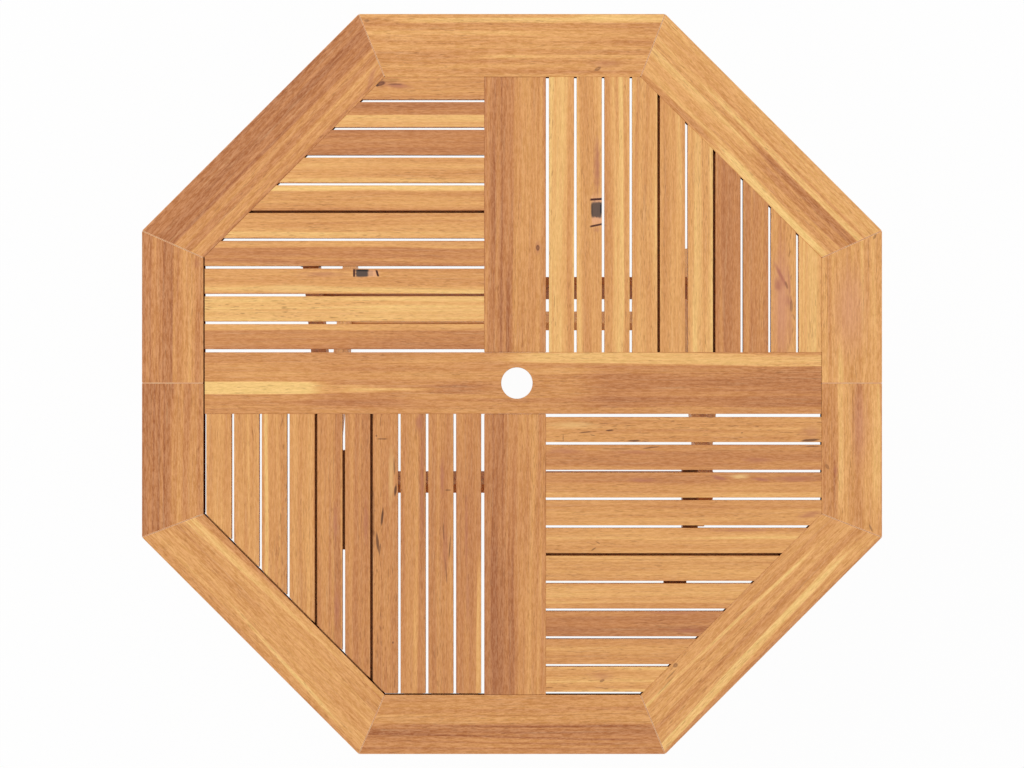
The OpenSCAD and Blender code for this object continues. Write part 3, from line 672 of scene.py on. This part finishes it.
def slatPiece(node, quarter, index, tone, bands):
    (x0, x1), (y0, y1) = slatOutline(node, quarter, index)
    mid = Vector(((x0 + x1) / 2, (y0 + y1) / 2, edges["level"] - slat["thick"] / 2))
    bm = bmesh.new()
    bmesh.ops.create_cube(bm, size=1.0)
    bmesh.ops.scale(bm, vec=(x1 - x0, y1 - y0, slat["thick"]), verts=bm.verts[:])
    bmesh.ops.translate(bm, vec=mid, verts=bm.verts[:])
    outward = Vector((*quarter["side"], 0)).normalized()
    cutBeyond(bm, fieldMid + outward * (fieldReach - quarter["short"]), outward)
    addTenons(bm, quarter)

    name = f"{node.replace('slats', 'slat')}_{index + 1}"
    turn = (0, 0, 0 if quarter["along"] == "x" else math.pi / 2)
    pores = acacia["manyPores"] if index + 1 in quarter["porous"] else acacia["pores"]
    finish = woodFinish(name, tuple(mid), turn, grainOf(tone, bands=bands, pores=pores))
    piece = meshPiece(name, bm, finish, "top")
    easeEdges(piece, "slat")
    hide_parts(node)


for node, quarter in slatQuarters.items():
    for index, (tone, bands) in enumerate(quarter["slats"]):
        slatPiece(node, quarter, index, tone, bands)
say("forty slats made")


# Under the top and the legs: which way the grain runs, in degrees from X

underLooks = {
    "batten_upper_left": 0, "batten_lower_right": 0, "pivot_rail": 0,
    "batten_upper_right_inner": 90, "batten_upper_right_outer": 90,
    "batten_lower_left_inner": 90, "batten_lower_left_outer": 90,
    "cleat_left": 90, "cleat_right": 90, "stop_block": 90,
    "outer_top_rail": 0, "outer_stretcher": 0, "inner_top_rail": 0, "inner_stretcher": 0,
}
# Painted shade on the pieces under the top: how much of the wood's light is left, by the first word of a node's
# name
underPaintedShade = {"batten": 0.6, "pivot": 0.6, "cleat": 0.5, "stop": 0.45, "outer": 0.55,
               "inner": 0.95}
underTones = {"under": 0.55, "leg": 0.5}

for node, angle in underLooks.items():
    grain = grainOf(underTones["under"], dark=underPaintedShade[node.split("_")[0]])
    dressWood(node, (0, 0, math.radians(angle)), grain, "under")

# A leg's grain runs from its foot to its bolt. The number is how much of its light is left: painted shade, darker
# on the outer legs
legLooks = {
    "outer": (mounts["outer_foot_right"], joints["top_tilt"], 0.6),
    "inner": (mounts["inner_foot_right"], joints["inner_legs_fold"], 0.95),
}
for pair, (foot, bolt, dark) in legLooks.items():
    run = Vector((0, bolt.y - foot.y, bolt.z - foot.z))
    turn = tuple(run.to_track_quat("X", "Z").to_euler())
    for side in ("left", "right"):
        dressWood(f"{pair}_leg_{side}", turn, grainOf(underTones["leg"], dark=dark), "leg")
say("legs and battens finished")


# Metal and joinery

steelLook = {"cloud": 60, "clouds": (0.35, 0.7), "lighter": 1.35, "cloudRough": 0.2,
             "grit": 1600, "bump": 0.2, "depth": 0.0002}


def metalFinish(name, colour, rough, metallic):
    finish = Finish(bpy.data.materials.new(name))
    cloud = finish.evenNoise(steelLook["cloud"], 3)
    lighter = (*(min(1.0, part * steelLook["lighter"]) for part in colour[:3]), 1.0)
    tint = finish.mix(cloud.step(*steelLook["clouds"]), colour, lighter)
    bump = finish.node("Bump", None, {
        "Strength": steelLook["bump"], "Distance": steelLook["depth"],
        "Height": finish.evenNoise(steelLook["grit"], 2)})
    shader = finish.node("BsdfPrincipled", None, {
        "Base Color": tint, "Roughness": cloud * steelLook["cloudRough"] + rough,
        "Metallic": metallic, "Normal": bump})
    return finish.surface(shader)


blackSteel = metalFinish("blackSteel", shade(34, 34, 36), rough=0.42, metallic=0.0)
zincSteel = metalFinish("zincSteel", shade(186, 188, 190), rough=0.25, metallic=1.0)

for node in ("seam_plates", "pivot_bracket_left", "pivot_bracket_right", "pivot_bolts",
             "cross_bolts"):
    dress(node, blackSteel, "plate")
for node in ("seam_plate_screws", "batten_screws", "cleat_screws", "pivot_bracket_screws",
             "outer_rail_screws", "cross_washers", "cross_nuts", "inner_rail_screws"):
    dress(node, zincSteel, "screw")

joineryGrain = woodFinish("joinery", (0, 0, 0), (0, 0, 0), grainOf(0.1))
dress("mitre_splines", joineryGrain)
dress("board_dowels", joineryGrain)


# Thin lines in the top, pale ones along the mitres and seams and a dark sheet of painted shadow in the open joint:
# the width and depth of a sheet and of the wider cap on it, how far they lie below the top's face, and how far
# their ends stay back
lineSizes = {
    "paleLine": {"sheet": 0.00055, "deep": 0.022, "cap": 0.0018, "capDeep": 0.0004, "drop": 0.00002,
             "back": 0.0012},
    "joint": {"sheet": 0.0015, "deep": 0.021, "cap": 0.0027, "capDeep": 0.0004, "drop": 0.0002,
              "back": 0.001},
}
lineLook = {"cloud": 90, "clouds": (0.3, 0.7), "rough": 0.6, "cloudRough": 0.2}
jointShift = -0.0005  # the joint's line, from the middle between the frame and the cross board


def lineFinish(name, first, second, gloss):
    finish = Finish(bpy.data.materials.new(name))
    cloud = finish.evenNoise(lineLook["cloud"], 3)
    tint = finish.mix(cloud.step(*lineLook["clouds"]), first, second)
    shader = finish.node("BsdfPrincipled", None, {
        "Base Color": tint, "Roughness": cloud * lineLook["cloudRough"] + lineLook["rough"],
        "Specular IOR Level": gloss})
    return finish.surface(shader)


paleLineSkin = lineFinish("paleSeamLine", shade(255, 206, 160), shade(255, 192, 144), gloss=0.1)
# painted shade: a near-black sheet stands for the shadow in the open joint and in the frame boards' grooves
paintedShadeSkin = lineFinish("jointShadow", shade(68, 24, 10), shade(48, 16, 7), gloss=0.0)


def thinLine(name, sizes, skin, start, end):
    run = end - start
    turn = Matrix.Rotation(math.atan2(run.y, run.x), 3, "Z")
    bm = bmesh.new()
    for wide, deep in ((sizes["cap"], sizes["capDeep"]), (sizes["sheet"], sizes["deep"])):
        verts = bmesh.ops.create_cube(bm, size=1.0)["verts"]
        bmesh.ops.scale(bm, vec=(run.length, wide, deep), verts=verts)
        bmesh.ops.rotate(bm, matrix=turn, verts=verts)
        mid = ((start + end) / 2).to_3d()
        mid.z = edges["level"] - sizes["drop"] - deep / 2
        bmesh.ops.translate(bm, vec=mid, verts=verts)
    meshPiece(name, bm, skin, "top", smooth=False)


halfSide = math.radians(22.5)  # from the middle of one of the eight sides to its corner
cornerAngles = [halfSide * (2 * corner + 1) for corner in range(8)]
toCorner = 1 / math.cos(halfSide)  # how much farther out a corner lies

# Pale lines along the eight mitres and the two seams
paleLine = lineSizes["paleLine"]
for number, angle in enumerate(cornerAngles, 1):
    ray = Vector((math.cos(angle), math.sin(angle)))
    outer = ray * edges["out"] * toCorner
    inner = fieldMid.to_2d() + ray * fieldReach * toCorner
    back = (inner - outer).normalized() * paleLine["back"]
    thinLine(f"mitre_pale_line_{number}", paleLine, paleLineSkin, outer + back, inner - back)
for side, name in ((-1, "left"), (1, "right")):
    inner = Vector((edges[name] + side * paleLine["back"], topMid.y))
    outer = Vector((side * (edges["out"] - paleLine["back"]), topMid.y))
    thinLine(f"seam_pale_line_{name}", paleLine, paleLineSkin, inner, outer)

# Painted shadow: a dark sheet in the open joint along the left side's frame boards
jointSizes = lineSizes["joint"]
jointX = (edges["left"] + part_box("cross_board")[0].x) / 2 + jointShift
jointReach = fieldReach * math.tan(halfSide) - jointSizes["back"]
thinLine("left_joint_shadow", jointSizes, paintedShadeSkin, Vector((jointX, fieldMid.y - jointReach)),
         Vector((jointX, fieldMid.y + jointReach)))

# A dark sheet of painted shade on the frame boards' inner edges, seen only where the slats leave a gap: how
# far it stands off them, how far it reaches in, and its upper edge and height
grooveShade = {"off": 0.00005, "wide": 0.0007, "drop": 0.0016, "deep": 0.014}


def grooveShadeRing(name):
    bm = bmesh.new()
    level = edges["level"] - grooveShade["drop"]
    sides = len(cornerAngles)
    rings = []
    for inset, down in ((grooveShade["off"], 0), (grooveShade["wide"], 0), (grooveShade["wide"], grooveShade["deep"]),
                        (grooveShade["off"], grooveShade["deep"])):
        radius = (fieldReach - inset) * toCorner
        rings.append([bm.verts.new(fieldMid + Vector((
            radius * math.cos(angle), radius * math.sin(angle), level - down)))
            for angle in cornerAngles])
    for ring, nextRing in zip(rings, rings[1:] + rings[:1]):
        for k in range(sides):
            after = (k + 1) % sides
            bm.faces.new((ring[k], ring[after], nextRing[after], nextRing[k]))
    meshPiece(name, bm, paintedShadeSkin, "top", smooth=False)


grooveShadeRing("slat_groove_shade")
say("metal and glue lines finished")


# Floor, world and lamps

# A lamp has its place, size and power
studio = {
    "floor": 30.0, "floorLevel": -0.0005, "floorColour": (0.9, 0.9, 0.9, 1.0), "whiteShare": 0.95,
    "white": (1, 1, 1, 1), "worldLight": 0.75, "aim": (0, 0, 0.6),
    "lamps": {"key": ((-2.2, 2.6, 3.6), 2.2, 60.0), "fill": ((2.8, -2.4, 3.0), 2.8, 25.0)},
}


def floorFinish():
    finish = Finish(bpy.data.materials.new("paleFloor"))
    pale = finish.node("BsdfDiffuse", None, {"Color": studio["floorColour"]})
    white = finish.node("Emission", None, {"Color": studio["white"], "Strength": 1.0})
    mixed = finish.node("MixShader", None, [finish.whiteRays() * studio["whiteShare"], pale, white])
    return finish.surface(mixed)


bm = bmesh.new()
bmesh.ops.create_grid(bm, x_segments=1, y_segments=1, size=studio["floor"])
floorMesh = bpy.data.meshes.new("floor")
bm.to_mesh(floorMesh)
bm.free()
floorMesh.materials.append(floorFinish())
floor = bpy.data.objects.new("floor", floorMesh)
floor.location.z = studio["floorLevel"]
bpy.context.scene.collection.objects.link(floor)

world = bpy.data.worlds.new("studio")
bpy.context.scene.world = world
sky = Finish(world)
light = sky.node("MapRange", None, {"Value": sky.whiteRays(), "To Min": studio["worldLight"]})
backdrop = sky.node("Background", None, {"Color": studio["white"], "Strength": light})
sky.node("OutputWorld", None, {"Surface": backdrop})

for name, (place, size, power) in studio["lamps"].items():
    lamp = bpy.data.lights.new(name, "AREA")
    lamp.shape = "DISK"
    lamp.size = size
    lamp.energy = power
    holder = bpy.data.objects.new(name, lamp)
    holder.location = place
    aim = Vector(studio["aim"]) - Vector(place)
    holder.rotation_euler = aim.to_track_quat("-Z", "Y").to_euler()
    holder.visible_camera = False
    bpy.context.scene.collection.objects.link(holder)
say("studio set")
